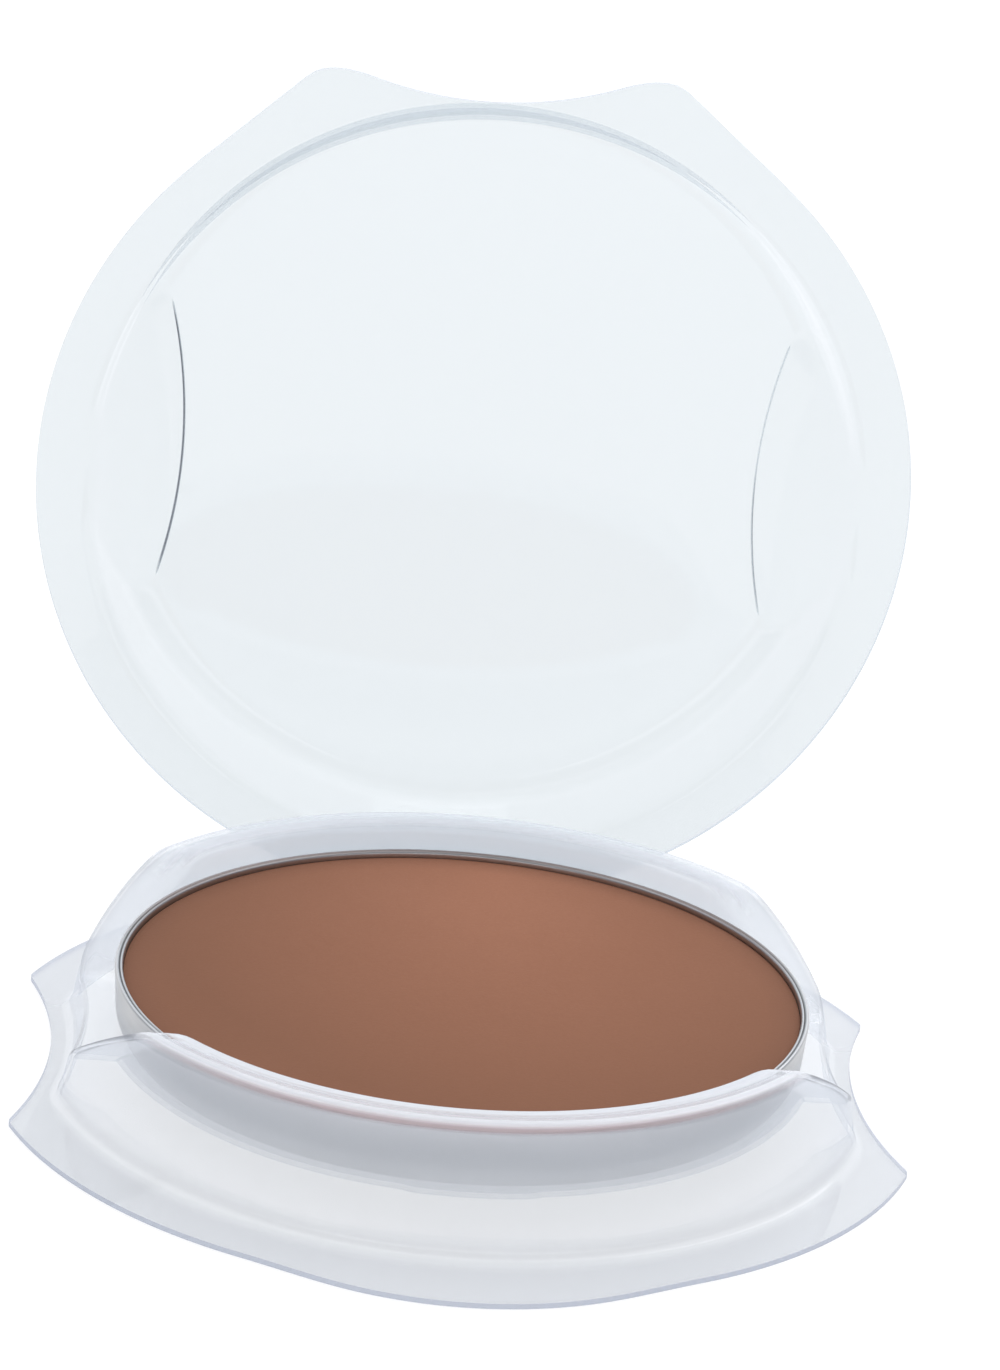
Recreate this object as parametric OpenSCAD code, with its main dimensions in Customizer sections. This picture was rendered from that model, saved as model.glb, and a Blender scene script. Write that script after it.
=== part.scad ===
// Refill compact of pressed powder: a metal pan in a clear case folded from one
// formed sheet. The case has a tray with a raised ring round the pan, a living
// hinge and a domed lid. Millimetres, +Z up, origin on the pan axis at the level
// the tray stands on. The lid is drawn open by lid_open degrees.

/* [Pan and powder] */
// Outside diameter of the pan at its rim
pan_d = 59.5; // [36:0.5:70]
// Height of the pan
pan_h = 5.4; // [3.5:0.1:7]
// Wall thickness of the pan
pan_t = 0.3; // [0.2:0.05:0.5]
// How much the straight part of the pan wall narrows downwards, on the radius
pan_draft = 0.2; // [0:0.05:1]
// Height of the part of the pan wall that curves in to the base
pan_curve = 2.4; // [1:0.1:2.8]
// How far the curved part draws in at the base, on the radius
base_in = 1; // [0.3:0.05:1.5]
// Width of the pan's rolled rim
lip_w = 0.7; // [0.5:0.05:1]
// Depth of the powder surface below the pan rim
powder_drop = 0.6; // [0.5:0.1:2]

/* [Sheet] */
// Thickness of the formed clear sheet
sheet = 0.45; // [0.3:0.05:0.6]
// Gap between the two flanges when the case is closed
flange_gap = 0.1; // [0.05:0.05:0.4]

/* [Tray] */
// Height of the tray floor above the table
floor_z = 3.65; // [2:0.05:6]
// Height of the ring crest above the pan rim
ring_rise = 2.4; // [1:0.1:4]
// Gap between the pan rim and the ring, on the radius
ring_gap = 0.4; // [0.35:0.05:1.5]
// Width of the ring at its crest
ring_w = 3.7; // [3:0.1:6]
// Width of the flat flange outside the ring
flange_w = 5.3; // [3:0.1:9]
// Radius of the rounded crest edges
crest_r = 1.1; // [0.6:0.1:1.5]
// Half length of the flat bottom of each finger gap
gap_flat = 7.6; // [4:0.1:10]
// Half length of each finger gap at its top
gap_top = 20.6; // [14:0.1:22]
// Share of the gap ramp that each rounded end takes
gap_ease = 0.12; // [0.05:0.01:0.5]
// Reach of the front thumb tab beyond the flange circle
tab_out = 1.9; // [0.5:0.1:4]
// Width of the small relief in the ring wall at the front
relief_w = 9.5; // [4:0.5:14]

/* [Finger notches] */
// Depth of each side notch below the flange circle
notch_in = 5.5; // [3:0.1:6]
// Radius of the notch arc
notch_r = 43.2; // [35:0.1:60]

/* [Lid] */
// Opening of the lid as drawn, from closed
lid_open = 88.2; // [0:0.1:118]
// Gap between the ring crest and the lid panel when closed
lid_gap = 0.4; // [0.3:0.05:1]
// Radius of the edge round the dome panel, outside
dome_r = 2.65; // [1.5:0.05:3.5]
// Distance of the side recess from the lid centre, at the dome panel
recess_top = 27.3; // [24:0.1:30]
// Distance of the side recess from the lid centre, at the lid flange
recess_foot = 35.3; // [34.4:0.1:35.6]
// Radius that the recess is bowed to, from its foot up
recess_r = 21; // [12:0.5:60]
// Reach of the two lid ears beyond the flange circle
ear_out = 2.35; // [0.5:0.05:3]
// Angle of each ear from the front
ear_ang = 21.5; // [16:0.1:26]
// Depth of the front scallop below the flange circle
scallop_in = 3.25; // [1:0.05:4]

/* [Living hinge] */
// Length of the hinge crease
hinge_len = 28; // [16:1:36]

/* [Hidden] */
$fn = 96;
eps = 0.02;
pan_r = pan_d / 2;
ring_in = pan_r + ring_gap;              // inner wall, at the pan rim
ring_out = ring_in + ring_w;             // outer wall, at the crest
foot_r = ring_out + 1.15;                // outer wall, at the flange
edge_r = foot_r + flange_w;              // flange circle
crest_z = floor_z + pan_h + ring_rise;
hinge_y = edge_r - 0.4;
hinge_z = sheet + flange_gap / 2;
lid_z = sheet + flange_gap;              // underside of the closed lid flange
panel_z = crest_z + lid_gap + sheet;     // outside of the closed lid panel
lid_foot = foot_r + 0.3 + sheet;         // outside of the lid wall at its flange
lid_top = ring_out + 0.55 + sheet;       // outside of the lid wall under its edge
notch_x = edge_r - notch_in;
notch_c = notch_x + notch_r;             // axis of the notch arc
bead_r = sheet + flange_gap / 2;
clear_col = [0.88, 0.92, 0.95, 0.32];

// Points of an arc about [cx, cy] from a0 to a1 in n steps
function arc(cx, cy, r, a0, a1, n = 6) =
    [for (i = [0:n]) let (a = a0 + (a1 - a0) * i / n) [cx + r * cos(a), cy + r * sin(a)]];
// Straight ramp from 0 to 1 with its two ends rounded over, and its slope
function ramp(t) = t < gap_ease ? t * t / (2 * gap_ease * (1 - gap_ease))
    : t > 1 - gap_ease ? 1 - (1 - t) * (1 - t) / (2 * gap_ease * (1 - gap_ease))
    : (t - gap_ease / 2) / (1 - gap_ease);
function slope(t) = min(t, 1 - t, gap_ease) / (gap_ease * (1 - gap_ease));

// Section of the finger gap, above the sheet, moved into the solid by g
function gap_curve(g) = [for (i = [0:12])
    let (t = i / 12,
         rise = crest_z - floor_z,
         run = gap_top - gap_flat,
         a = atan(slope(t) * rise / run))
    [gap_flat + run * t + g * sin(a), floor_z + rise * ramp(t) - g * cos(a)]];

// ---- tray -------------------------------------------------------------------

// Solid under the tray surface, g is the inset that makes the sheet
module tray_form(g) {
    bot = g > 0 ? -1 : 0;
    difference() {
        rotate_extrude($fn = 180)
            polygon(concat(
                [[0, bot], [foot_r - g, bot], [foot_r - g, sheet - g]],
                arc(ring_out - crest_r, crest_z - crest_r, crest_r - g, 0, 90),
                arc(ring_in + crest_r, crest_z - crest_r, crest_r - g, 90, 180),
                [[ring_in - 0.3 + g, floor_z - g], [0, floor_z - g]]));
        // finger gaps, left and right
        for (m = [0, 1]) mirror([m, 0, 0])
            translate([ring_in - 4, 0, 0])
                rotate([90, 0, 90])
                    linear_extrude(height = 20)
                        polygon(concat(
                            [for (p = gap_curve(g)) p],
                            [[gap_top + 8, crest_z + 0.5], [gap_top + 8, crest_z + 4],
                             [-gap_top - 8, crest_z + 4], [-gap_top - 8, crest_z + 0.5]],
                            [for (i = [12:-1:0]) let (p = gap_curve(g)[i]) [-p[0], p[1]]]));
        // side walls set in behind the notches
        for (s = [-1, 1])
            translate([s * notch_c, 0, -2])
                cylinder(h = crest_z + 4, r1 = notch_r + 2 + g - 0.6,
                         r2 = notch_r + 2 + g + 0.22 * (crest_z + 1.5), $fn = 240);
        // small relief at the front of the ring's inner wall
        translate([-relief_w / 2 - g, -ring_in - 0.5 - g, floor_z - g])
            cube([relief_w + 2 * g, 2, 1.6 + 2 * g]);
    }
}

// Flange outline of the tray
module tray_outline() {
    tab_r = 25.9;
    difference() {
        union() {
            circle(r = edge_r, $fn = 240);
            translate([0, -(edge_r + tab_out - tab_r)]) circle(r = tab_r, $fn = 200);
            translate([-hinge_len / 2, hinge_y - 10]) square([hinge_len, 10]);
        }
        for (s = [-1, 1]) translate([s * notch_c, 0]) circle(r = notch_r, $fn = 240);
        translate([-edge_r, hinge_y]) square([2 * edge_r, 10]);
    }
}

module tray() {
    color(clear_col)
    difference() {
        union() {
            tray_form(0);
            linear_extrude(height = sheet) tray_outline();
        }
        tray_form(sheet);
        translate([-hinge_len / 2 - 1, hinge_y, hinge_z]) rotate([0, 90, 0])
            cylinder(h = hinge_len + 2, r = bead_r + 0.01, $fn = 48);
    }
}

// ---- lid --------------------------------------------------------------------

// Centre of the circle of radius r through points a and b, on the side of +r
function centre2(a, b, r) =
    let (d = norm(b - a), u = (b - a) / d, h = sqrt(r * r - d * d / 4))
    (a + b) / 2 + h * [u[1], -u[0]];

// Solid under the closed lid's outer surface, inset by g
module lid_form(g) {
    bot = g > 0 ? lid_z - 1 : lid_z;
    // section of the side recess, as distance from the notch axis and height
    foot = [notch_c - recess_foot, lid_z + sheet];
    top = [notch_c - recess_top, panel_z];
    mid = centre2(foot, top, recess_r);
    a0 = atan2(foot[1] - mid[1], foot[0] - mid[0]) + 4;
    a1 = atan2(top[1] - mid[1], top[0] - mid[0]) - 4;
    difference() {
        rotate_extrude($fn = 180)
            polygon(concat(
                [[0, bot], [lid_foot - g, bot], [lid_foot - g, lid_z + sheet - g]],
                arc(lid_top - dome_r, panel_z - dome_r, dome_r - g, 0, 90, 8),
                [[0, panel_z - g]]));
        // side recesses over the finger gaps
        for (s = [-1, 1])
            translate([s * notch_c, 0, 0])
                rotate_extrude($fn = 240)
                    polygon(concat(
                        [[0, bot - 2], [mid[0] + (recess_r - g) * cos(a0), bot - 2]],
                        arc(mid[0], mid[1], recess_r - g, a0, a1, 12),
                        [[mid[0] + (recess_r - g) * cos(a1), panel_z + 3],
                         [0, panel_z + 3]]));
    }
}

// Flange outline of the closed lid: ears and scallop at the front
module lid_outline() {
    er = edge_r + ear_out;
    knob = 3.5;
    ec = er - knob;
    // shoulder line touches both the flange circle and the ear
    ta = ear_ang + acos((edge_r - knob) / ec);
    dip_r = 35;
    difference() {
        union() {
            circle(r = edge_r, $fn = 240);
            for (s = [-1, 1]) {
                translate([s * ec * sin(ear_ang), -ec * cos(ear_ang)]) circle(r = knob);
                polygon([[0, 0],
                         [s * edge_r * sin(ta), -edge_r * cos(ta)],
                         [s * (ec * sin(ear_ang) + knob * sin(ta)),
                          -(ec * cos(ear_ang) + knob * cos(ta))],
                         [s * ec * sin(ear_ang), -ec * cos(ear_ang)]]);
            }
            polygon([[0, 0], [-ec * sin(ear_ang), -ec * cos(ear_ang)],
                     [-(ec - 1) * sin(ear_ang) + 1, -er * cos(ear_ang)],
                     [(ec - 1) * sin(ear_ang) - 1, -er * cos(ear_ang)],
                     [ec * sin(ear_ang), -ec * cos(ear_ang)]]);
            translate([-hinge_len / 2, hinge_y - 10]) square([hinge_len, 10]);
        }
        translate([0, -(edge_r - scallop_in + dip_r)]) circle(r = dip_r, $fn = 240);
        translate([-edge_r, hinge_y]) square([2 * edge_r, 10]);
    }
}

module lid_closed() {
    difference() {
        union() {
            lid_form(0);
            translate([0, 0, lid_z]) linear_extrude(height = sheet) lid_outline();
        }
        lid_form(sheet);
        translate([-hinge_len / 2 - 1, hinge_y, hinge_z]) rotate([0, 90, 0])
            cylinder(h = hinge_len + 2, r = bead_r + 0.06, $fn = 48);
    }
}

module lid() {
    color(clear_col)
    translate([0, hinge_y, hinge_z]) rotate([-lid_open, 0, 0])
        translate([0, -hinge_y, -hinge_z]) lid_closed();
}

// ---- hinge crease -----------------------------------------------------------

module living_hinge() {
    color([0.86, 0.9, 0.94, 0.4])
    translate([-hinge_len / 2, hinge_y, hinge_z]) rotate([0, 90, 0])
        cylinder(h = hinge_len, r = bead_r, $fn = 48);
}

// ---- pan and powder ---------------------------------------------------------

// Outside radius of the pan at height z
function wall_r(z) = pan_r - pan_draft * (1 - max(z - pan_curve, 0) / (pan_h - pan_curve))
    - base_in * pow(max(pan_curve - z, 0) / pan_curve, 2.2);
// Heights up the curved part, from the inside of the base
function wall_z() = concat([pan_t], [for (i = [2:10]) pan_curve * i / 10], [pan_h - 1.6]);

module pan() {
    zs = wall_z();
    color([0.72, 0.73, 0.75])
    translate([0, 0, floor_z])
        rotate_extrude($fn = 180)
            polygon(concat(
                [[0, 0]],
                [for (i = [0:10]) let (z = pan_curve * i / 10) [wall_r(z), z]],
                arc(pan_r - 0.3, pan_h - 0.3, 0.3, 0, 90),
                arc(pan_r - lip_w + 0.2, pan_h - 0.2, 0.2, 90, 180, 4),
                [[pan_r - lip_w, pan_h - 1]],
                [for (i = [len(zs) - 1:-1:0]) [wall_r(zs[i]) - pan_t, zs[i]]],
                [[0, pan_t]]));
}

module powder() {
    zs = wall_z();
    rt = pan_r - lip_w - eps;
    top = pan_h - powder_drop;
    color([0.62, 0.42, 0.35])
    translate([0, 0, floor_z])
        rotate_extrude($fn = 180)
            polygon(concat(
                [[0, pan_t + eps], [wall_r(pan_t) - pan_t - 2 * eps, pan_t + eps]],
                [for (i = [1:len(zs) - 1]) [wall_r(zs[i]) - pan_t - eps, zs[i]]],
                [[rt, pan_h - 1]],
                arc(rt - 0.2, top - 0.2, 0.2, 0, 90, 4),
                [[rt - 5, top + 0.1], [0, top + 0.2]]));
}

tray();
lid();
living_hinge();
pan();
powder();
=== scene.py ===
"""Powder refill compact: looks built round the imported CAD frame."""

import math

import bpy
import numpy as np
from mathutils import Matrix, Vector


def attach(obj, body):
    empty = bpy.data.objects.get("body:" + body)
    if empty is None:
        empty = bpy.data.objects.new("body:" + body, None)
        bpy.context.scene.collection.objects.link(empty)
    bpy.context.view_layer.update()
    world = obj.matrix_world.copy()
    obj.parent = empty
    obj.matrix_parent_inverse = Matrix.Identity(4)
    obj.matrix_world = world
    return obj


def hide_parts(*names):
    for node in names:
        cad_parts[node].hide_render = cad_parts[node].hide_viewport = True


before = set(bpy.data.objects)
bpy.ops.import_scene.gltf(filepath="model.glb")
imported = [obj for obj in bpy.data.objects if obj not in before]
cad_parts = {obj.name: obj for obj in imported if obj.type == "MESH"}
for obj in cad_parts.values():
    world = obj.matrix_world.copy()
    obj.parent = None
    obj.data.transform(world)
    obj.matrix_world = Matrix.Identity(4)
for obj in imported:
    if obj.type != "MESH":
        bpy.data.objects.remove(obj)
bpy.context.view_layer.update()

MM = 0.001

# ---- sizes, in mm, as in the CAD --------------------------------------------
PAN_R = 29.75        # pan rim, outside
PAN_H = 5.4
PAN_T = 0.3          # metal
PAN_DRAFT = 0.2      # how much narrower the wall is below than at the rim
PAN_CURVE = 2.4      # height over which the base curves in
BASE_IN = 1.0        # how far it curves in, and the power of that curve
BASE_POWER = 2.2
LIP_W = 0.7          # rolled rim
POWDER_DROP = 0.6    # powder below the rim
SHEET = 0.45         # plastic
FLANGE_GAP = 0.1     # between the two flanges when closed
FLOOR_Z = 3.65       # tray floor, under the pan
CREST_Z = FLOOR_Z + PAN_H + 2.4
RING_IN = PAN_R + 0.4           # ring round the pan: inside and outside at its crest
RING_OUT = RING_IN + 3.7
LEAN = 1.15          # how far the ring's outer wall leans out from crest to foot
FOOT_R = RING_OUT + LEAN
EDGE_R = FOOT_R + 5.3           # flange
CREST_R = 1.1        # rounding of the crest
GAP_FLAT = 7.6       # finger gap: half its flat bottom, and half its width at the crest
GAP_TOP = 20.6
GAP_EASE = 0.12      # share of the ramp that is rounded at each end
NOTCH_R = 43.2       # finger notch: circle, and how far out its centre is
NOTCH_C = 78.0
NOTCH_BAND = 1.4     # flange between the notch and the wall behind it, and the wall's slope
NOTCH_LEAN = 0.2233
NOTCH_LOW = 2.0      # how far below the table that band is measured
TAB_R = 25.9         # thumb tab: circle, and how far it stands out
TAB_OUT = 1.9
LID_OPEN = 88.2      # degrees
LID_Z = SHEET + FLANGE_GAP      # the lid's sizes are those of the closed lid
PANEL_Z = CREST_Z + 0.398 + SHEET
LID_FOOT = FOOT_R + 0.3 + SHEET
LID_TOP = RING_OUT + 0.55 + SHEET
DOME_R = 2.65        # rounding of the lid's edge
RECESS_TOP = 27.3    # lid recess: its place at the panel and at the flange, and its curve
RECESS_FOOT = 35.3
RECESS_R = 21.0
SHOULDER = math.radians(41.0)   # where the straight side of a lid ear leaves the circle
EAR_TIP = 20.5       # degrees from the front
SCALLOP_R = 35.0     # scallop between the ears: circle, and how deep it cuts
SCALLOP_IN = 3.25
TAB_BLEND = 0.9      # widths over which two lines of an outline or a wall run into each other
NOTCH_BLEND = 0.35
WALL_BLEND = 0.8
HINGE_BLEND = 1.2
EAR_BLEND = 0.15
SCALLOP_BLEND = 4.0
RECESS_BLEND = 0.5
HINGE_LEN = 28.0     # crease: its length, the place of its axis and its radius
HINGE_Y = EDGE_R - 0.4
HINGE_Z = SHEET + FLANGE_GAP / 2
BEAD_R = SHEET + FLANGE_GAP / 2
EAR_TURN = math.radians(1.8)    # the ears and the scallop sit a little round; not in the CAD


# ---- small numeric helpers --------------------------------------------------
def smin(a, b, k):
    """Smooth minimum over a width k."""
    h = np.clip(0.5 + 0.5 * (b - a) / k, 0.0, 1.0)
    return b * (1 - h) + a * h - k * h * (1 - h)


def smax(a, b, k):
    """Smooth maximum over a width k."""
    return -smin(-a, -b, k)


def step(t):
    """Smooth step from 0 to 1 as t goes from 0 to 1."""
    t = np.clip(t, 0.0, 1.0)
    return t * t * (3 - 2 * t)


def fade(value, start, end):
    """Smooth step from 0 where value is start to 1 where it is end."""
    return step((value - start) / (end - start))


def ramp(t):
    """Straight ramp from 0 to 1 with its two ends rounded over."""
    t = np.clip(t, 0.0, 1.0)
    e, k = GAP_EASE, 2 * GAP_EASE * (1 - GAP_EASE)
    rest = np.where(t > 1 - e, 1 - (1 - t) ** 2 / k, (t - e / 2) / (1 - e))
    return np.where(t < e, t * t / k, rest)


def near_hit(cos_a, sin_a, c, r):
    """Distance from the origin to the near side of a circle of radius r at distance c, along a ray
    at the angle with that cosine and sine. Large where the ray misses."""
    room = r * r - (c * sin_a) ** 2
    hit = c * cos_a - np.sqrt(np.clip(room, 0.0, None))
    return np.where((room > 0) & (cos_a > 0), hit, 1e3)


def angles(special, count=264, fine=9, spread=1.4, least=0.09):
    """Angles round the circle in radians, closer together near the special ones, which are in
    degrees, and never closer than least."""
    a = list(np.arange(count) * 360.0 / count)
    for s in special:
        a += [(s + spread * (i / fine)) % 360.0 for i in range(-fine, fine + 1)]
    a = np.unique(np.round(a, 4))
    keep = [a[0]]
    for x in a[1:]:
        if x - keep[-1] > least:
            keep.append(x)
    return np.radians(np.array(keep))


def meeting(r, notch_r):
    """Degrees from the side at which the circle of radius r round the middle meets a circle of
    radius notch_r round the centre of a notch, at all four places."""
    a = math.degrees(math.acos((r ** 2 + NOTCH_C ** 2 - notch_r ** 2) / (2 * r * NOTCH_C)))
    return [a, 180 - a, 180 + a, 360 - a]


def hinge_ends():
    """Degrees at which the squared edge along the hinge ends, at the right and at the left."""
    a = math.degrees(math.atan2(HINGE_Y, HINGE_LEN / 2))
    return [a - 0.6, 180.6 - a]


def quarter(n):
    """n angles from 0 to 90 degrees, in radians."""
    return np.radians(np.linspace(0, 90, n))


def inside(n):
    """The n - 1 shares that cut 0 to 1 into n."""
    return np.linspace(0, 1, n + 1)[1:-1]


# ---- mesh from a polar grid -------------------------------------------------
class Grid:
    """Rings of points at the angles phi, from the middle out, with marks on each."""

    def __init__(self, phi, *titles):
        self.phi = phi
        self.rings = []
        self.marks = {title: [] for title in titles}

    def put(self, r, z, **marks):
        """Adds the ring with radius r and height z; a mark that isn't given is 0 on it."""
        one = np.ones_like(self.phi)
        x, y = r * np.cos(self.phi), r * np.sin(self.phi)
        self.rings.append(np.stack([x, y, z * one], axis=1))
        for title, values in self.marks.items():
            values.append(marks.get(title, 0.0) * one)

    def stack(self):
        """The points as P[angle, ring], and each mark in the same order."""
        marks = {title: np.stack(v, axis=1) for title, v in self.marks.items()}
        return np.stack(self.rings, axis=1), marks


def grid_normals(P):
    """Unit normals of a closed polar grid P[angle, ring], pointing up at the middle."""
    du = np.roll(P, -1, axis=0) - np.roll(P, 1, axis=0)
    dv = np.empty_like(P)
    dv[:, 1:-1] = P[:, 2:] - P[:, :-2]
    dv[:, 0] = P[:, 1] - P[:, 0]
    dv[:, -1] = P[:, -1] - P[:, -2]
    n = np.cross(dv, du)
    return n / np.maximum(np.linalg.norm(n, axis=2, keepdims=True), 1e-12)


def make_object(name, verts, faces, materials, slots=None, sharp=None):
    """Smooth-shaded mesh object; edges bent by more than sharp degrees stay sharp."""
    mesh = bpy.data.meshes.new(name)
    mesh.from_pydata([tuple(v) for v in verts], [], faces)
    for m in materials:
        mesh.materials.append(m)
    if slots is not None:
        mesh.polygons.foreach_set("material_index", slots)
    mesh.polygons.foreach_set("use_smooth", [True] * len(faces))
    mesh.update()
    if sharp is not None:
        mesh.set_sharp_from_angle(angle=math.radians(sharp))
    ob = bpy.data.objects.new(name, mesh)
    bpy.context.scene.collection.objects.link(ob)
    return ob


def sheet_shell(name, P, centre, thick, materials, marks, place=None):
    """Closed thin sheet whose upper face is the polar grid P[angle, ring] round the point centre.
    The first material is on its faces, the second on its cut edge. marks holds, by name, how
    strongly each painted mark of shade, highlight and reflection lies at each point, from 0 to 1."""
    around, rings = P.shape[:2]
    n = grid_normals(P)
    n[:, -1] = n[:, -2]
    low = P - n * thick
    low[:, -1, 2] = P[:, -1, 2] - thick
    up = np.vstack([P.reshape(-1, 3), [centre]])
    down = np.vstack([low.reshape(-1, 3), [[centre[0], centre[1], centre[2] - thick]]])
    off = len(up)
    verts = np.vstack([up, down])
    faces, slots = [], []

    def at(i, j):
        return (i % around) * rings + j

    for i in range(around):
        a, b = at(i, 0), at(i + 1, 0)
        faces.append((off - 1, a, b))
        faces.append((2 * off - 1, off + b, off + a))
        slots += [0, 0]
        for j in range(rings - 1):
            q = (at(i, j), at(i, j + 1), at(i + 1, j + 1), at(i + 1, j))
            faces.append(q)
            faces.append(tuple(off + k for k in reversed(q)))
            slots += [0, 0]
        a, b = at(i, rings - 1), at(i + 1, rings - 1)
        faces.append((a, off + a, off + b, b))
        slots.append(1)
    if place is not None:
        verts = place(verts)
    ob = make_object(name, verts * MM, faces, materials, slots, sharp=50)
    for title, mark in marks.items():
        values = np.tile(np.append(mark.reshape(-1), 0.0), 2)
        ob.data.attributes.new(title, "FLOAT", "POINT").data.foreach_set("value", values)
    return ob


def spin(name, profile, material, count=256, sharp=None):
    """Solid of revolution from a profile [(r, z), ...] that starts and ends on the axis."""
    a = np.arange(count) * 2 * math.pi / count
    prof = np.array(profile)
    inner = prof[1:-1]
    ring = np.stack([np.outer(np.cos(a), inner[:, 0]), np.outer(np.sin(a), inner[:, 0]),
                     np.tile(inner[:, 1], (count, 1))], axis=2)
    n = len(inner)
    verts = np.vstack([ring.reshape(-1, 3), [[0, 0, prof[0][1]], [0, 0, prof[-1][1]]]])
    first, last = count * n, count * n + 1
    faces = []
    for i in range(count):
        k, m = i * n, ((i + 1) % count) * n
        faces.append((first, m, k))
        faces += [(k + j, m + j, m + j + 1, k + j + 1) for j in range(n - 1)]
        faces.append((k + n - 1, m + n - 1, last))
    return make_object(name, verts * MM, faces, [material], sharp=sharp)


def arc(cx, cz, r, a0, a1, n):
    """Points (r, z) on an arc in n steps from a0 to a1 degrees."""
    t = np.radians(np.linspace(a0, a1, n + 1))
    return [(cx + r * math.cos(x), cz + r * math.sin(x)) for x in t]


# ---- materials --------------------------------------------------------------
def new_material(name):
    """Empty node material: the material, its node tree and its output node."""
    mat = bpy.data.materials.new(name)
    mat.use_nodes = True
    nt = mat.node_tree
    nt.nodes.clear()
    out = nt.nodes.new("ShaderNodeOutputMaterial")
    return mat, nt, out


def node(nt, kind, **values):
    """New node; each value goes to the input of that name, or else to the property."""
    n = nt.nodes.new(kind)
    for k, v in values.items():
        if k in n.inputs:
            n.inputs[k].default_value = v
        else:
            setattr(n, k, v)
    return n


def maths(nt, op, a, b=None, clamp=False):
    """Output of a Math node; a and b are numbers or sockets."""
    n = nt.nodes.new("ShaderNodeMath")
    n.operation = op
    n.use_clamp = clamp
    for i, v in enumerate((a, b)):
        if v is None:
            continue
        if isinstance(v, (int, float)):
            n.inputs[i].default_value = v
        else:
            nt.links.new(v, n.inputs[i])
    return n.outputs[0]


def between(nt, value, low, high):
    """0 where value is at low or beyond it, 1 at high or beyond it, even between the two."""
    return maths(nt, "MULTIPLY", maths(nt, "SUBTRACT", value, low), 1 / (high - low), clamp=True)


def colour_mix(nt, fac, a, b):
    """Output of a colour Mix node; fac, a and b are values or sockets."""
    n = nt.nodes.new("ShaderNodeMix")
    n.data_type = "RGBA"
    for sock, v in ((0, fac), (6, a), (7, b)):
        if isinstance(v, (int, float, tuple)):
            n.inputs[sock].default_value = v
        else:
            nt.links.new(v, n.inputs[sock])
    return n.outputs[2]


def layered(nt, base, *layers):
    """The colour base with layers over it, each given as a factor, its share and its colour."""
    for fac, share, colour in layers:
        base = colour_mix(nt, maths(nt, "MULTIPLY", fac, share), base, colour)
    return base


def noise(nt, vector, **values):
    """Factor of a noise texture over the vector socket."""
    n = node(nt, "ShaderNodeTexNoise", **values)
    nt.links.new(vector, n.inputs["Vector"])
    return n.outputs["Fac"]


def bumped(nt, height, strength, distance):
    """Normal that a height socket gives."""
    n = node(nt, "ShaderNodeBump", Strength=strength, Distance=distance)
    nt.links.new(height, n.inputs["Height"])
    return n.outputs["Normal"]


def xyz(nt, vector):
    """The three parts of a vector socket."""
    n = node(nt, "ShaderNodeSeparateXYZ")
    nt.links.new(vector, n.inputs[0])
    return tuple(n.outputs)


def length_xy(nt, x, y):
    """Length of the vector whose parts are the two sockets."""
    squares = [maths(nt, "MULTIPLY", v, v) for v in (x, y)]
    return maths(nt, "SQRT", maths(nt, "ADD", *squares))


CLOUD = (0.06, (0.86, 0.90, 0.93, 1))           # share and tint of faint clouds in the sheet
PAINTED_SHADE_MARK = (0.90, (0.10, 0.12, 0.16, 1))     # the same for a full mark of each kind: painted shade, painted reflection of the powder
POWDER_REFLECTION_MARK = (0.62, (0.68, 0.44, 0.42, 1))
PAINTED_HIGHLIGHT_HAZE = 0.80                               # pale haze that a full mark of painted highlight adds
SEEN_THROUGH = 0.65                             # share of the haze that passes light through


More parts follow.
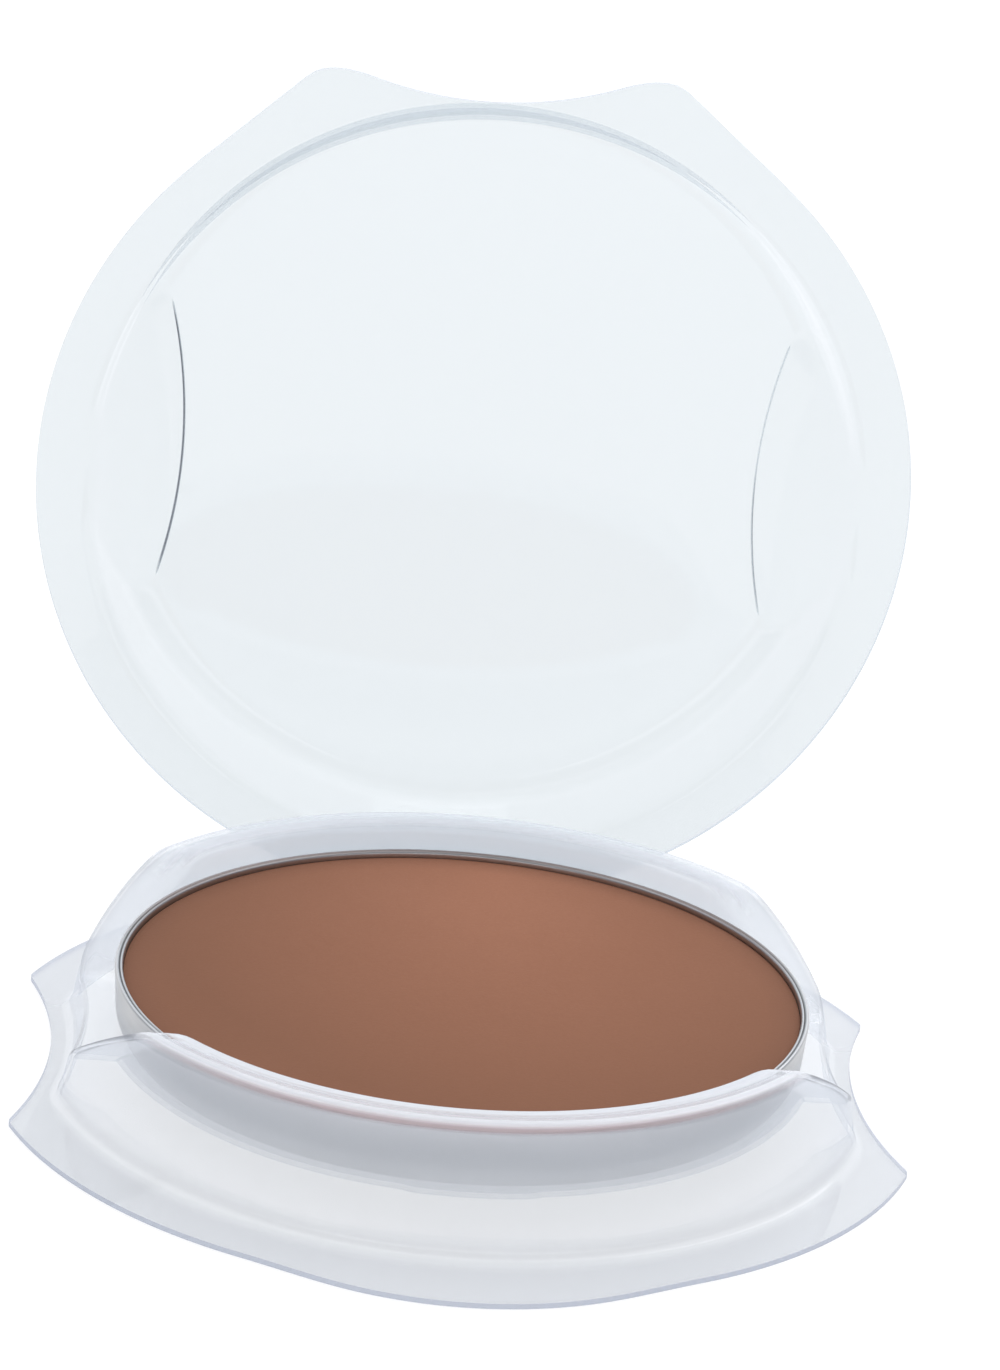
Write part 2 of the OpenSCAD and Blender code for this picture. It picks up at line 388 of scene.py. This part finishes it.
def clear_plastic(name, face_on, edge_on, haze, milk, gloss=0.05, mirror_low=0.035,
                  mirror_high=0.50):
    """Thin clear sheet: what is behind it shows, tinted more where it is seen edge on, with a
    mirror that grows towards grazing and a little haze in the sheet. Painted marks: crease is
    painted shade, dark and grey; the powder reflection mark is a painted reflection of the powder;
    the highlight mark is a painted highlight, pale."""
    mat, nt, out = new_material(name)
    facing = node(nt, "ShaderNodeLayerWeight", Blend=0.5).outputs["Facing"]
    co = node(nt, "ShaderNodeTexCoord").outputs["Object"]

    def mark(title):
        return node(nt, "ShaderNodeAttribute", attribute_name=title).outputs["Fac"]

    tint = colour_mix(nt, maths(nt, "POWER", facing, 3.0), face_on, edge_on)
    cloud = noise(nt, co, Scale=38.0, Detail=1.0)
    # painted shade (crease) and painted reflection of the powder go into the tint
    tint = layered(nt, tint, (cloud, *CLOUD), (mark("crease"), *PAINTED_SHADE_MARK),
                   (mark("blush"), *POWDER_REFLECTION_MARK))
    clear = node(nt, "ShaderNodeBsdfTransparent")
    nt.links.new(tint, clear.inputs["Color"])

    wave = bumped(nt, noise(nt, co, Scale=55.0, Detail=2.0, Roughness=0.45), 0.02, 0.6 * MM)
    body = node(nt, "ShaderNodeBsdfDiffuse", Color=milk)
    nt.links.new(wave, body.inputs["Normal"])
    through = node(nt, "ShaderNodeBsdfTranslucent", Color=milk)
    both = node(nt, "ShaderNodeMixShader")
    both.inputs[0].default_value = SEEN_THROUGH
    nt.links.new(body.outputs[0], both.inputs[1])
    nt.links.new(through.outputs[0], both.inputs[2])
    sheet = node(nt, "ShaderNodeMixShader")
    # painted highlight: a full mark adds pale haze
    frost = maths(nt, "MULTIPLY", mark("frost"), PAINTED_HIGHLIGHT_HAZE)
    nt.links.new(maths(nt, "ADD", frost, haze), sheet.inputs[0])
    nt.links.new(clear.outputs[0], sheet.inputs[1])
    nt.links.new(both.outputs[0], sheet.inputs[2])

    mirror = node(nt, "ShaderNodeBsdfGlossy", Color=(1, 1, 1, 1), Roughness=gloss)
    nt.links.new(wave, mirror.inputs["Normal"])
    rise = maths(nt, "MULTIPLY", maths(nt, "POWER", facing, 4.4), mirror_high)
    mix = node(nt, "ShaderNodeMixShader")
    nt.links.new(maths(nt, "ADD", rise, mirror_low, clamp=True), mix.inputs[0])
    nt.links.new(sheet.outputs[0], mix.inputs[1])
    nt.links.new(mirror.outputs[0], mix.inputs[2])
    nt.links.new(mix.outputs[0], out.inputs["Surface"])
    return mat


METAL_DARK = (0.45, 0.455, 0.465, 1)
METAL_PALE = (0.54, 0.545, 0.555, 1)
METAL_LINE = (0.34, 0.345, 0.36, 1)
# painted shade in the seam of the rolled rim
METAL_SEAM_SHADE = (0.10, 0.105, 0.11, 1)
# painted reflection, dark brown, on the rim at the back
METAL_BACK_REFLECTION = (0.20, 0.15, 0.135, 1)
SEAM_IN = 0.39       # seam between the two beads of the rim: inward from PAN_R, and half its width
SEAM_HALF = 0.11
RIM_DEEP = 0.9       # height of the rim that the painted seam shade and painted reflection are on


def pan_metal():
    """Drawn tinplate: satin grey with faint drawing lines up the wall and round the rim, painted
    shade in the seam round the rolled rim, and a dark brown painted reflection on the rim at
    the back."""
    mat, nt, out = new_material("pan_metal")
    p = node(nt, "ShaderNodeBsdfPrincipled", Metallic=1.0, IOR=1.5)
    co = node(nt, "ShaderNodeTexCoord").outputs["Object"]
    squash = node(nt, "ShaderNodeMapping", Scale=(1.0, 1.0, 9.0))
    nt.links.new(co, squash.inputs["Vector"])
    lines = noise(nt, squash.outputs[0], Scale=260.0, Detail=4.0, Roughness=0.6)
    blot = noise(nt, co, Scale=70.0, Detail=2.0)

    # the painted seam shade and the painted reflection lie on top of the rim
    x, y, z = xyz(nt, co)
    inward = maths(nt, "SUBTRACT", PAN_R * MM, length_xy(nt, x, y))
    rim_z = (FLOOR_Z + PAN_H - RIM_DEEP) * MM
    top = between(nt, z, rim_z, rim_z + 0.2 * MM)
    off_seam = maths(nt, "ABSOLUTE", maths(nt, "SUBTRACT", inward, SEAM_IN * MM))
    seam_shade = maths(nt, "MULTIPLY", top, between(nt, off_seam, SEAM_HALF * MM, 0.0))
    lip = LIP_W - 0.02
    flat = maths(nt, "MULTIPLY", between(nt, inward, 0.0, 0.1 * MM),
                 between(nt, inward, lip * MM, (lip - 1 / 12) * MM))
    back = between(nt, y, 0.0, 15 * MM)
    back_reflection = maths(nt, "MULTIPLY", maths(nt, "MULTIPLY", top, back), flat)

    base = layered(nt, colour_mix(nt, blot, METAL_DARK, METAL_PALE),
                   (lines, 0.16, METAL_LINE), (seam_shade, 0.85, METAL_SEAM_SHADE), (back_reflection, 0.75, METAL_BACK_REFLECTION))
    nt.links.new(base, p.inputs["Base Color"])
    rough = maths(nt, "ADD", maths(nt, "MULTIPLY", lines, 0.16), 0.24)
    nt.links.new(rough, p.inputs["Roughness"])
    nt.links.new(bumped(nt, lines, 0.15, 0.06 * MM), p.inputs["Normal"])
    nt.links.new(p.outputs[0], out.inputs["Surface"])
    return mat


BROWN = (0.380, 0.158, 0.088, 1)                # powder, and its paler patches
BROWN_PALE = (0.414, 0.178, 0.103, 1)
BROWN_GRAIN = (0.232, 0.083, 0.049, 1)
PEARL = (0.62, 0.40, 0.32, 1)
BROWN_PAINTED_SHADE = (0.157, 0.069, 0.037, 1)           # painted shade, far from the palest place
# painted shade along the powder's edge, under the rim
BROWN_RIM_SHADE = (0.16, 0.070, 0.045, 1)
PALEST = (4.0, 24.0)                            # the palest place, where the painted shade is least, and how far it reaches
PALEST_REACH = 32.0
RIM_BAND = (26.2, 28.8)                         # radii between which the edge gets darker with painted shade
SPECK = 0.16                                    # size of a pearl speck in its cell


def powder_matter():
    """Pressed powder: matt brown with fine grain and paler pearl specks, with painted shade:
    darker away from a place towards the back and along its edge."""
    mat, nt, out = new_material("pressed_powder")
    p = node(nt, "ShaderNodeBsdfPrincipled", Roughness=0.9)
    p.inputs["Specular IOR Level"].default_value = 0.2
    p.inputs["Sheen Weight"].default_value = 0.06
    p.inputs["Sheen Roughness"].default_value = 0.5
    p.inputs["Sheen Tint"].default_value = (0.95, 0.75, 0.65, 1)
    co = node(nt, "ShaderNodeTexCoord").outputs["Object"]
    x, y, _ = xyz(nt, co)
    grain = noise(nt, co, Scale=3200.0, Detail=3.0, Roughness=0.6)
    patch = noise(nt, co, Scale=90.0, Detail=3.0, Roughness=0.55)
    speck = node(nt, "ShaderNodeTexVoronoi", Scale=2300.0)
    nt.links.new(co, speck.inputs["Vector"])
    dots = between(nt, speck.outputs["Distance"], SPECK, SPECK - 1 / 7)
    # painted shade: darker away from the palest place, and along the edge
    away = length_xy(nt, maths(nt, "SUBTRACT", x, PALEST[0] * MM),
                     maths(nt, "MULTIPLY", maths(nt, "SUBTRACT", y, PALEST[1] * MM), 0.65))
    away = between(nt, away, 0.0, PALEST_REACH * MM)
    rim_shade = between(nt, length_xy(nt, x, y), RIM_BAND[0] * MM, RIM_BAND[1] * MM)
    base = layered(nt, colour_mix(nt, patch, BROWN, BROWN_PALE),
                   (grain, 0.30, BROWN_GRAIN), (dots, 0.16, PEARL), (away, 0.71, BROWN_PAINTED_SHADE),
                   (rim_shade, 0.25, BROWN_RIM_SHADE))
    nt.links.new(base, p.inputs["Base Color"])
    height = maths(nt, "ADD", grain, maths(nt, "MULTIPLY", patch, 1.5))
    nt.links.new(bumped(nt, height, 0.35, 0.08 * MM), p.inputs["Normal"])
    nt.links.new(p.outputs[0], out.inputs["Surface"])
    return mat


CLEAR = clear_plastic(
    "clear_sheet", face_on=(0.976, 0.980, 0.986, 1), edge_on=(0.88, 0.90, 0.94, 1), haze=0.22,
    milk=(0.94, 0.955, 0.98, 1), mirror_high=0.30)
# the lid is the same sheet as the tray; its deeper tint is painted shade
LID_CLEAR = clear_plastic(
    "clear_lid_sheet", face_on=(0.872, 0.890, 0.896, 1), edge_on=(0.94, 0.95, 0.96, 1), haze=0.10,
    milk=(0.84, 0.88, 0.93, 1), mirror_low=0.02, mirror_high=0.04)
# the cut edges carry painted shade and painted highlight: a darker tint and more haze
CUT = clear_plastic(
    "sheet_cut_edge", face_on=(0.66, 0.70, 0.78, 1), edge_on=(0.50, 0.54, 0.64, 1), haze=0.30,
    milk=(0.70, 0.72, 0.80, 1), gloss=0.2)
LID_CUT = clear_plastic(
    "lid_cut_edge", face_on=(0.76, 0.80, 0.85, 1), edge_on=(0.66, 0.70, 0.77, 1), haze=0.35,
    milk=(0.78, 0.81, 0.87, 1), gloss=0.2)
CREASE = clear_plastic(
    "crease", face_on=(0.90, 0.92, 0.94, 1), edge_on=(0.62, 0.68, 0.75, 1), haze=0.22,
    milk=(0.88, 0.90, 0.93, 1), gloss=0.12)
METAL = pan_metal()
POWDER = powder_matter()


# ---- tray -------------------------------------------------------------------
def gap_height(y):
    """Height of the ring over the finger gap."""
    return FLOOR_Z + (CREST_Z - FLOOR_Z) * ramp((np.abs(y) - GAP_FLAT) / (GAP_TOP - GAP_FLAT))


def hinge_clip(r, phi):
    """Squares the outline off along the hinge."""
    s = np.sin(phi)
    side = (HINGE_LEN / 2) / np.maximum(np.abs(np.cos(phi)), 1e-6)
    wide = np.where(s > 0.5, smax(r, np.minimum(side, 60.0), HINGE_BLEND), r)
    back = (HINGE_Y - BEAD_R + 0.02) / np.maximum(s, 1e-6)
    return np.where(s > 0.5, np.minimum(wide, back), r)


def tray_outline(phi):
    """Reach of the flange: a circle with a thumb tab, two finger notches and the hinge edge."""
    r = np.full_like(phi, EDGE_R)
    centre = EDGE_R + TAB_OUT - TAB_R
    front = -np.sin(phi)
    tab = centre * front + np.sqrt(np.clip(TAB_R ** 2 - (centre * np.cos(phi)) ** 2, 0, None))
    r = np.where(front > 0.5, smax(r, tab, TAB_BLEND), r)
    notch = near_hit(np.abs(np.cos(phi)), np.sin(phi), NOTCH_C, NOTCH_R)
    r = smin(r, notch, NOTCH_BLEND)
    return hinge_clip(r, phi)


def tray_wall(phi, z):
    """Outside radius of the ring at height z, drawn in behind the notches."""
    plain = FOOT_R - LEAN * (z - SHEET) / (CREST_Z - CREST_R - SHEET)
    cone = NOTCH_R + NOTCH_BAND + NOTCH_LEAN * (z + NOTCH_LOW)
    side = near_hit(np.abs(np.cos(phi)), np.sin(phi), NOTCH_C, cone)
    return smin(plain, side, WALL_BLEND)


DENT_HALF = 4.75                            # shallow dent low in the ring's inner wall, in
DENT_DEEP = 0.35                            # front: half its width, its depth, and its top
DENT_TOP = 2.1                              # above the floor
GAP_FILLET = 0.34                           # outer fillet of the ring where it is lowest
INNER_PAINTED_HIGHLIGHT = (0.1, 0.4, 0.9, 1, 1, 1)      # painted highlight at the last steps of the crest's inner fillet
CREST_MARKS = (                             # share of the way over the crest, painted highlight, painted powder reflection
    (0.25, 1.0, 0), (0.5, 0.6, 0), (0.75, 0, 0.5))
OUTER_MARKS = (                             # crease (painted shade), painted highlight, painted powder reflection round the outer fillet
    (0.2, 0, 0.4), (0.6, 0.9, 0), (0.9, 1, 0), (1, 0.9, 0), (1, 0.2, 0.8),
    (1, 0, 1), (0.8, 0, 0.9), (0.4, 0, 0.2), (0.1, 0, 0), (0, 0, 0))
BACK_PAINTED_HIGHLIGHT = 0.10                                 # faint painted highlight on all of the back of the tray
FOOT_PAINTED_SHADE = 0.07                          # crease mark, painted shade, along the foot, and more of it at each side
FOOT_PAINTED_SHADE_MORE = 0.28
# crease mark, painted shade, over all of the flange
FLANGE_PAINTED_SHADE = 0.13


def tray_grid():
    """Upper face of the tray, with its marks of painted shade, highlight and powder reflection."""
    phi = angles(meeting(EDGE_R, NOTCH_R) + hinge_ends())
    across = np.sin(phi)
    grid = Grid(phi, "crease", "frost", "blush")

    def ring_z(r, z_full):
        """Height on the ring of what is at z_full where the ring is at its full height."""
        top = gap_height(r * across)
        return FLOOR_Z + (z_full - FLOOR_Z) * (top - FLOOR_Z) / (CREST_Z - FLOOR_Z)

    # floor
    for r in (5, 10, 15, 20, 24, 26.5, 28, 28.9):
        grid.put(r, FLOOR_Z)

    # inner wall and the inner fillet of the crest, with a painted highlight near its top
    draft, fillet = 0.3, 0.45
    base = RING_IN - draft
    wall = arc(base - fillet, FLOOR_Z + fillet, fillet, -90, 0, 5)
    foot_z = FLOOR_Z + fillet
    wall += [(base + draft * t, foot_z + (CREST_Z - CREST_R - foot_z) * t) for t in inside(7)]
    wall += arc(RING_IN + CREST_R, CREST_Z - CREST_R, CREST_R, 180, 90, 9)
    frost = (0,) * (len(wall) - len(INNER_PAINTED_HIGHLIGHT)) + INNER_PAINTED_HIGHLIGHT
    high = fade(ring_z(RING_IN, CREST_Z), CREST_Z - 1.4, CREST_Z - 0.2)
    pushed = np.clip(1.2 - np.abs(np.cos(phi)) * base / DENT_HALF, 0, 0.2) / 0.2
    pushed = np.where(across < 0, pushed, 0.0)
    dent_z = FLOOR_Z + DENT_TOP
    for (x, z), pale in zip(wall, frost):
        deep = DENT_DEEP * fade(z, dent_z, dent_z - 0.6) * fade(x, 29.3, 29.8)
        grid.put(x + deep * pushed, ring_z(x, z), frost=high * pale)

    # flat of the crest, with painted highlight where the ring is high and a painted reflection of
    # the powder in front; full is the share of its full height that the ring has
    height = gap_height(tray_wall(phi, gap_height(RING_OUT * across)) * across)
    full = (height - FLOOR_Z) / (CREST_Z - FLOOR_Z)
    fillet = GAP_FILLET + (CREST_R - GAP_FILLET) * full ** 3
    first, last = RING_IN + CREST_R, tray_wall(phi, height) - fillet
    crest = fade(full, 0.88, 1.0)
    # painted reflection of the powder, only at the front of the crest
    powder_reflection_mask = crest * fade(-across, 0.50, 0.95)
    for t, pale, pink in CREST_MARKS:
        r = first + (last - first) * t
        grid.put(r, gap_height(r * across), frost=crest * pale, blush=powder_reflection_mask * pink)

    def outer_z(r, h):
        """Height on the outer wall of what is h above the flange on the wall's own section."""
        top = gap_height(r * across)
        return SHEET + h * np.maximum(top - SHEET, 0.5) / (height - SHEET)

    # outer fillet; the crease mark, painted shade, runs along the ramps, more at the front
    # than at the back
    front = 0.35 + 0.65 * fade(-across, -1 / 6, 1 / 6)
    ramp_shade = (0.45 + 0.55 * fade(full, 0.0, 0.1)) * fade(full, 0.985, 0.925) * front
    for a, (dark, pale, pink) in zip(quarter(10), OUTER_MARKS):
        z = height - fillet * (1 - math.cos(a))
        r = tray_wall(phi, z) - fillet * (1 - math.sin(a))
        grid.put(r, outer_z(r, z - SHEET), crease=ramp_shade * dark, frost=crest * pale,
                 blush=powder_reflection_mask * pink)

    # outer wall, its foot and the flange; painted shade along the foot and over the flange
    foot_up, foot_out = 0.7, 0.6
    for t in inside(10):
        z = (height - fillet) * (1 - t) + (SHEET + foot_up) * t
        r = tray_wall(phi, z)
        grid.put(r, outer_z(r, z - SHEET) * (1 - t) + z * t)
    from_side = np.abs(np.degrees(np.arcsin(across)))
    at_side = fade(np.abs(from_side - 11), 7.2, 1.2) * (across < 0)
    for i, a in enumerate(quarter(7)):
        z = SHEET + foot_up * (1 - math.sin(a))
        r = tray_wall(phi, z) + foot_out * (1 - math.cos(a))
        grid.put(r, z, crease=FOOT_PAINTED_SHADE + FOOT_PAINTED_SHADE_MORE * at_side * (i == 3))
    foot = tray_wall(phi, SHEET) + foot_out
    width = np.maximum(tray_outline(phi), foot + 0.2) - foot
    for t in (0.15, 0.35, 0.55, 0.75, 0.9, 1.0):
        grid.put(foot + width * t, SHEET, crease=FLANGE_PAINTED_SHADE)

    points, marks = grid.stack()
    # faint painted highlight over the back of the tray
    back_highlight = BACK_PAINTED_HIGHLIGHT * fade(across, 0.1, 0.5)
    marks["frost"] = np.maximum(marks["frost"], back_highlight[:, None])
    return points, marks


points, marks = tray_grid()
tray = sheet_shell("tray_shell", points, (0, 0, FLOOR_Z), SHEET, [CLEAR, CUT], marks)
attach(tray, "case_base")
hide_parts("tray")


# ---- lid --------------------------------------------------------------------
def circle_centre(a, b, r):
    """Centre of the circle of radius r through a and b, to the right of the way from a to b."""
    a, b = np.array(a), np.array(b)
    d = np.linalg.norm(b - a)
    u = (b - a) / d
    return (a + b) / 2 + math.sqrt(r * r - d * d / 4) * np.array([u[1], -u[0]])


RECESS_MID = circle_centre((NOTCH_C - RECESS_FOOT, LID_Z + SHEET),
                           (NOTCH_C - RECESS_TOP, PANEL_Z), RECESS_R)


def lid_outline(phi):
    """Reach of the flange: a circle with two ears, a scallop between them and the hinge edge."""
    r = np.full_like(phi, EDGE_R)
    turn = np.arctan2(np.cos(phi), -np.sin(phi)) + EAR_TURN     # from the front, to the right
    a = np.abs(turn)
    line = (EDGE_R + 0.03) / np.cos(np.minimum(a, SHOULDER) - SHOULDER)
    r = np.where(a < SHOULDER, smax(r, line, EAR_BLEND), r)
    scallop = near_hit(np.cos(turn), np.sin(turn), EDGE_R - SCALLOP_IN + SCALLOP_R, SCALLOP_R)
    r = smin(r, scallop, SCALLOP_BLEND)
    return hinge_clip(r, phi)


def lid_wall(phi, z, r_dome):
    """Radius of the dome at height z, drawn in at the recesses."""
    d = RECESS_MID[0] - math.sqrt(max(RECESS_R ** 2 - (z - RECESS_MID[1]) ** 2, 0.0))
    side = near_hit(np.abs(np.cos(phi)), np.sin(phi), NOTCH_C, d)
    return smin(r_dome * np.ones_like(phi), side, RECESS_BLEND)


def lid_grid():
    """Upper face of the closed lid, with its crease mark of painted shade."""
    panel_r = LID_TOP - DOME_R
    turn = math.degrees(EAR_TURN)
    tips = [270 - EAR_TIP - turn, 270 + EAR_TIP - turn]
    phi = angles(meeting(panel_r, NOTCH_C - RECESS_TOP) + hinge_ends() + tips)
    grid = Grid(phi, "crease")

    # panel; the crease mark, painted shade, follows the recess, fainter at the right and there
    # only along the hinge half
    panel = lid_wall(phi, PANEL_Z, panel_r)
    right = 0.35 * fade(np.sin(phi), -0.1, 0.1)
    painted_fold_shade = fade(panel_r - panel, 0.0, 1.6) * np.where(np.cos(phi) < 0, 1.0, right)
    for t in (0.2, 0.4, 0.6, 0.78, 0.88, 0.94, 0.975):
        grid.put(panel * t, PANEL_Z)
    grid.put(panel - 0.16, PANEL_Z)
    grid.put(panel - 0.06, PANEL_Z, crease=painted_fold_shade)

    # rounded edge, wall, its foot and the flange
    for i, a in enumerate(quarter(13)):
        z = PANEL_Z - DOME_R * (1 - math.cos(a))
        r = lid_wall(phi, z, panel_r + DOME_R * math.sin(a))
        grid.put(r, z, crease=painted_fold_shade * (i == 0))
    foot_r = 0.8
    top, bottom = PANEL_Z - DOME_R, LID_Z + SHEET

    def wall(z):
        return lid_wall(phi, z, LID_TOP + (LID_FOOT - LID_TOP) * (top - z) / (top - bottom))

    for t in inside(12):
        z = top + (bottom + foot_r - top) * t
        grid.put(wall(z), z)
    for a in quarter(7):
        z = bottom + foot_r * (1 - math.sin(a))
        grid.put(wall(z) + foot_r * (1 - math.cos(a)), z)
    foot = wall(bottom) + foot_r
    width = np.maximum(lid_outline(phi), foot + 0.1) - foot
    for t in (0.2, 0.4, 0.6, 0.8, 1.0):
        grid.put(foot + width * t, bottom)
    return grid.stack()


def open_lid(v):
    """Turns closed-lid points about the hinge to the open rest pose."""
    a = -math.radians(LID_OPEN)
    y, z = v[:, 1] - HINGE_Y, v[:, 2] - HINGE_Z
    out = v.copy()
    out[:, 1] = HINGE_Y + y * math.cos(a) - z * math.sin(a)
    out[:, 2] = HINGE_Z + y * math.sin(a) + z * math.cos(a)
    return out


points, marks = lid_grid()
lid = sheet_shell("lid_shell", points, (0, 0, PANEL_Z), SHEET, [LID_CLEAR, LID_CUT], marks,
                  place=open_lid)
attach(lid, "case_lid")
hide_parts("lid")


# ---- hinge crease -----------------------------------------------------------
SCORES = (110, 160, 290, 340)   # scored lines, in degrees round the bead
SCORE_DEEP = 0.05
SCORE_WIDE = 9.0                # degrees


def hinge_bead():
    """Rolled crease with two scored lines along each side and rounded ends."""
    around, along = 40, 60
    verts, faces = [], []
    for x in np.linspace(-HINGE_LEN / 2, HINGE_LEN / 2, along):
        end = min(1.0, math.sqrt(max(0.0, (HINGE_LEN / 2 - abs(x)) / 0.5)) * 0.65 + 0.35)
        for k in range(around):
            a = 2 * math.pi * k / around
            near = sum(math.exp(-((math.degrees(a) - c) / SCORE_WIDE) ** 2) for c in SCORES)
            r = (BEAD_R - SCORE_DEEP * near) * end
            verts.append((x, HINGE_Y + r * math.cos(a), HINGE_Z + r * math.sin(a)))
    for i in range(along - 1):
        for k in range(around):
            a, b = i * around + k, i * around + (k + 1) % around
            faces.append((a, b, b + around, a + around))
    faces.append(tuple(reversed(range(around))))
    faces.append(tuple(range((along - 1) * around, along * around)))
    return make_object("hinge_crease", np.array(verts) * MM, faces, [CREASE], sharp=50)


bead = hinge_bead()
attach(bead, "case_base")
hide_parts("living_hinge")


# ---- pan and powder ---------------------------------------------------------
SKIN = 0.02          # room between the powder and the metal
CROWN = 0.2          # how much higher the powder is in the middle
POWDER_FILLET = 0.12
RIM = (              # rolled rim, inward from PAN_R and down from PAN_H: a bead, a seam, a bead
    (0, 0.34), (0.012, 0.22), (0.04, 0.12), (0.09, 0.045), (0.15, 0.008), (0.22, 0.0),
    (0.30, 0.03), (0.345, 0.11), (SEAM_IN, 0.15), (0.435, 0.11), (0.48, 0.03), (0.53, 0.015),
    (0.58, 0.03), (0.63, 0.07), (0.67, 0.14), (0.69, 0.22), (LIP_W, 0.30), (LIP_W, 1.0))


def wall_r(z):
    """Outside radius of the pan at height z above its base."""
    straight = PAN_R - PAN_DRAFT * (1 - max(z - PAN_CURVE, 0) / (PAN_H - PAN_CURVE))
    return straight - BASE_IN * (max(PAN_CURVE - z, 0) / PAN_CURVE) ** BASE_POWER


def pan_profile():
    """Outside of the pan from the middle of its base, over the rim and down inside."""
    base = wall_r(0)
    p = [(r, 0.0) for r in (0, 10, 20, 26, base - 0.12)] + [(base - 0.03, 0.03)]
    p += [(wall_r(z), z) for z in np.linspace(0.1, PAN_H - 0.5, 16)]
    p += [(PAN_R - inward, PAN_H - down) for inward, down in RIM]
    p += [(wall_r(z) - PAN_T, z) for z in np.linspace(PAN_H - 1.6, PAN_T, 10)]
    p += [(20, PAN_T), (10, PAN_T), (0, PAN_T)]
    return [(r, z + FLOOR_Z) for r, z in p]


def powder_profile():
    """Cake that fills the pan, with a rounded edge and a slightly crowned top."""
    edge = PAN_R - LIP_W - SKIN
    top = PAN_H - POWDER_DROP
    p = [(0, PAN_T + SKIN), (15, PAN_T + SKIN)]
    p += [(wall_r(z) - PAN_T - 0.03, z) for z in np.linspace(PAN_T + SKIN, PAN_H - 1.6, 8)]
    p += [(edge, PAN_H - 1.0)]
    p += arc(edge - POWDER_FILLET, top - POWDER_FILLET, POWDER_FILLET, 0, 90, 6)
    for r in (27.8, 27, 26, 24, 21, 18, 14, 10, 6, 3, 0):
        p.append((r, top + CROWN * (1 - (r / edge) ** 2)))
    return [(r, z + FLOOR_Z) for r, z in p]


pan = spin("pan_shell", pan_profile(), METAL, sharp=60)
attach(pan, "refill")
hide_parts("pan")

powder = spin("powder_cake", powder_profile(), POWDER)
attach(powder, "refill")
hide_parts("powder")


# ---- floor, light and camera ------------------------------------------------
FLOOR_HALF = 3.0                    # metres
FLOOR_GREY = (0.30, 0.30, 0.30, 1)
FLOOR_GLOW = 0.75
WHITE = (1, 1, 1, 1)
WORLD_PALE = (1.33, 1.35, 1.39, 1)
WORLD_SIDE = (0.16, 0.19, 0.25, 1)
WORLD_AHEAD = (0.10, 0.11, 0.13, 1)
CAMERA_PLACE = (-0.0240993, -0.3185789, 0.1466630)      # metres
CAMERA_TURN = (70.8015, -4.9830, -2.7383)               # degrees
CAMERA_LENS = 106.48                                    # mm, on a sensor 36 mm wide


def floor():
    """Plain pale floor that gives off a little light, so it is white and nearly shadowless."""
    mat, nt, out = new_material("floor")
    p = node(nt, "ShaderNodeBsdfPrincipled", Roughness=0.95)
    p.inputs["Base Color"].default_value = FLOOR_GREY
    p.inputs["Specular IOR Level"].default_value = 0.0
    p.inputs["Emission Color"].default_value = WHITE
    p.inputs["Emission Strength"].default_value = FLOOR_GLOW
    nt.links.new(p.outputs[0], out.inputs["Surface"])
    s, z = FLOOR_HALF, -0.02 * MM
    corners = [(-s, -s, z), (s, -s, z), (s, s, z), (-s, s, z)]
    ob = make_object("floor", corners, [(0, 1, 2, 3)], [mat])


def area(name, where, target, size, power):
    """Rectangular light at where that faces target; size in metres, power in watts."""
    data = bpy.data.lights.new(name, "AREA")
    data.shape = "RECTANGLE"
    data.size, data.size_y = size
    data.energy = power
    ob = bpy.data.objects.new(name, data)
    ob.location = where
    ob.rotation_mode = "QUATERNION"
    ob.rotation_quaternion = (Vector(target) - Vector(where)).to_track_quat("-Z", "Y")
    bpy.context.scene.collection.objects.link(ob)


def studio():
    """Pale round the object, darker low down at the sides and high up in front of it; plain
    white to the camera."""
    world = bpy.data.worlds.new("studio")
    world.use_nodes = True
    nt = world.node_tree
    nt.nodes.clear()
    out = nt.nodes.new("ShaderNodeOutputWorld")
    x, y, z = xyz(nt, node(nt, "ShaderNodeTexCoord").outputs["Generated"])
    side = maths(nt, "MULTIPLY", between(nt, maths(nt, "ABSOLUTE", x), 0.50, 0.85),
                 between(nt, z, 0.50, 0.15))
    ahead = maths(nt, "MULTIPLY", between(nt, y, -0.15, -0.55), between(nt, z, 0.10, 0.30))
    colour = colour_mix(nt, side, WORLD_PALE, WORLD_SIDE)
    colour = colour_mix(nt, maths(nt, "MULTIPLY", ahead, 0.80), colour, WORLD_AHEAD)
    seen = node(nt, "ShaderNodeLightPath").outputs["Is Camera Ray"]
    colour = colour_mix(nt, seen, colour, WHITE)
    bg = node(nt, "ShaderNodeBackground", Strength=1.0)
    nt.links.new(colour, bg.inputs["Color"])
    nt.links.new(bg.outputs[0], out.inputs["Surface"])
    bpy.context.scene.world = world


def camera():
    """Camera from above the front, looking down at about 19 degrees."""
    data = bpy.data.cameras.new("camera")
    data.sensor_width = 36.0
    data.lens = CAMERA_LENS
    data.clip_start, data.clip_end = 0.01, 20
    ob = bpy.data.objects.new("camera", data)
    ob.location = CAMERA_PLACE
    ob.rotation_euler = [math.radians(a) for a in CAMERA_TURN]
    bpy.context.scene.collection.objects.link(ob)
    return ob


floor()
area("key_softbox", where=(0.22, 0.50, 0.68), target=(0, 0, 0), size=(0.80, 0.60), power=2.2)
studio()
bpy.context.scene.camera = camera()
bpy.context.scene.view_settings.view_transform = "Standard"
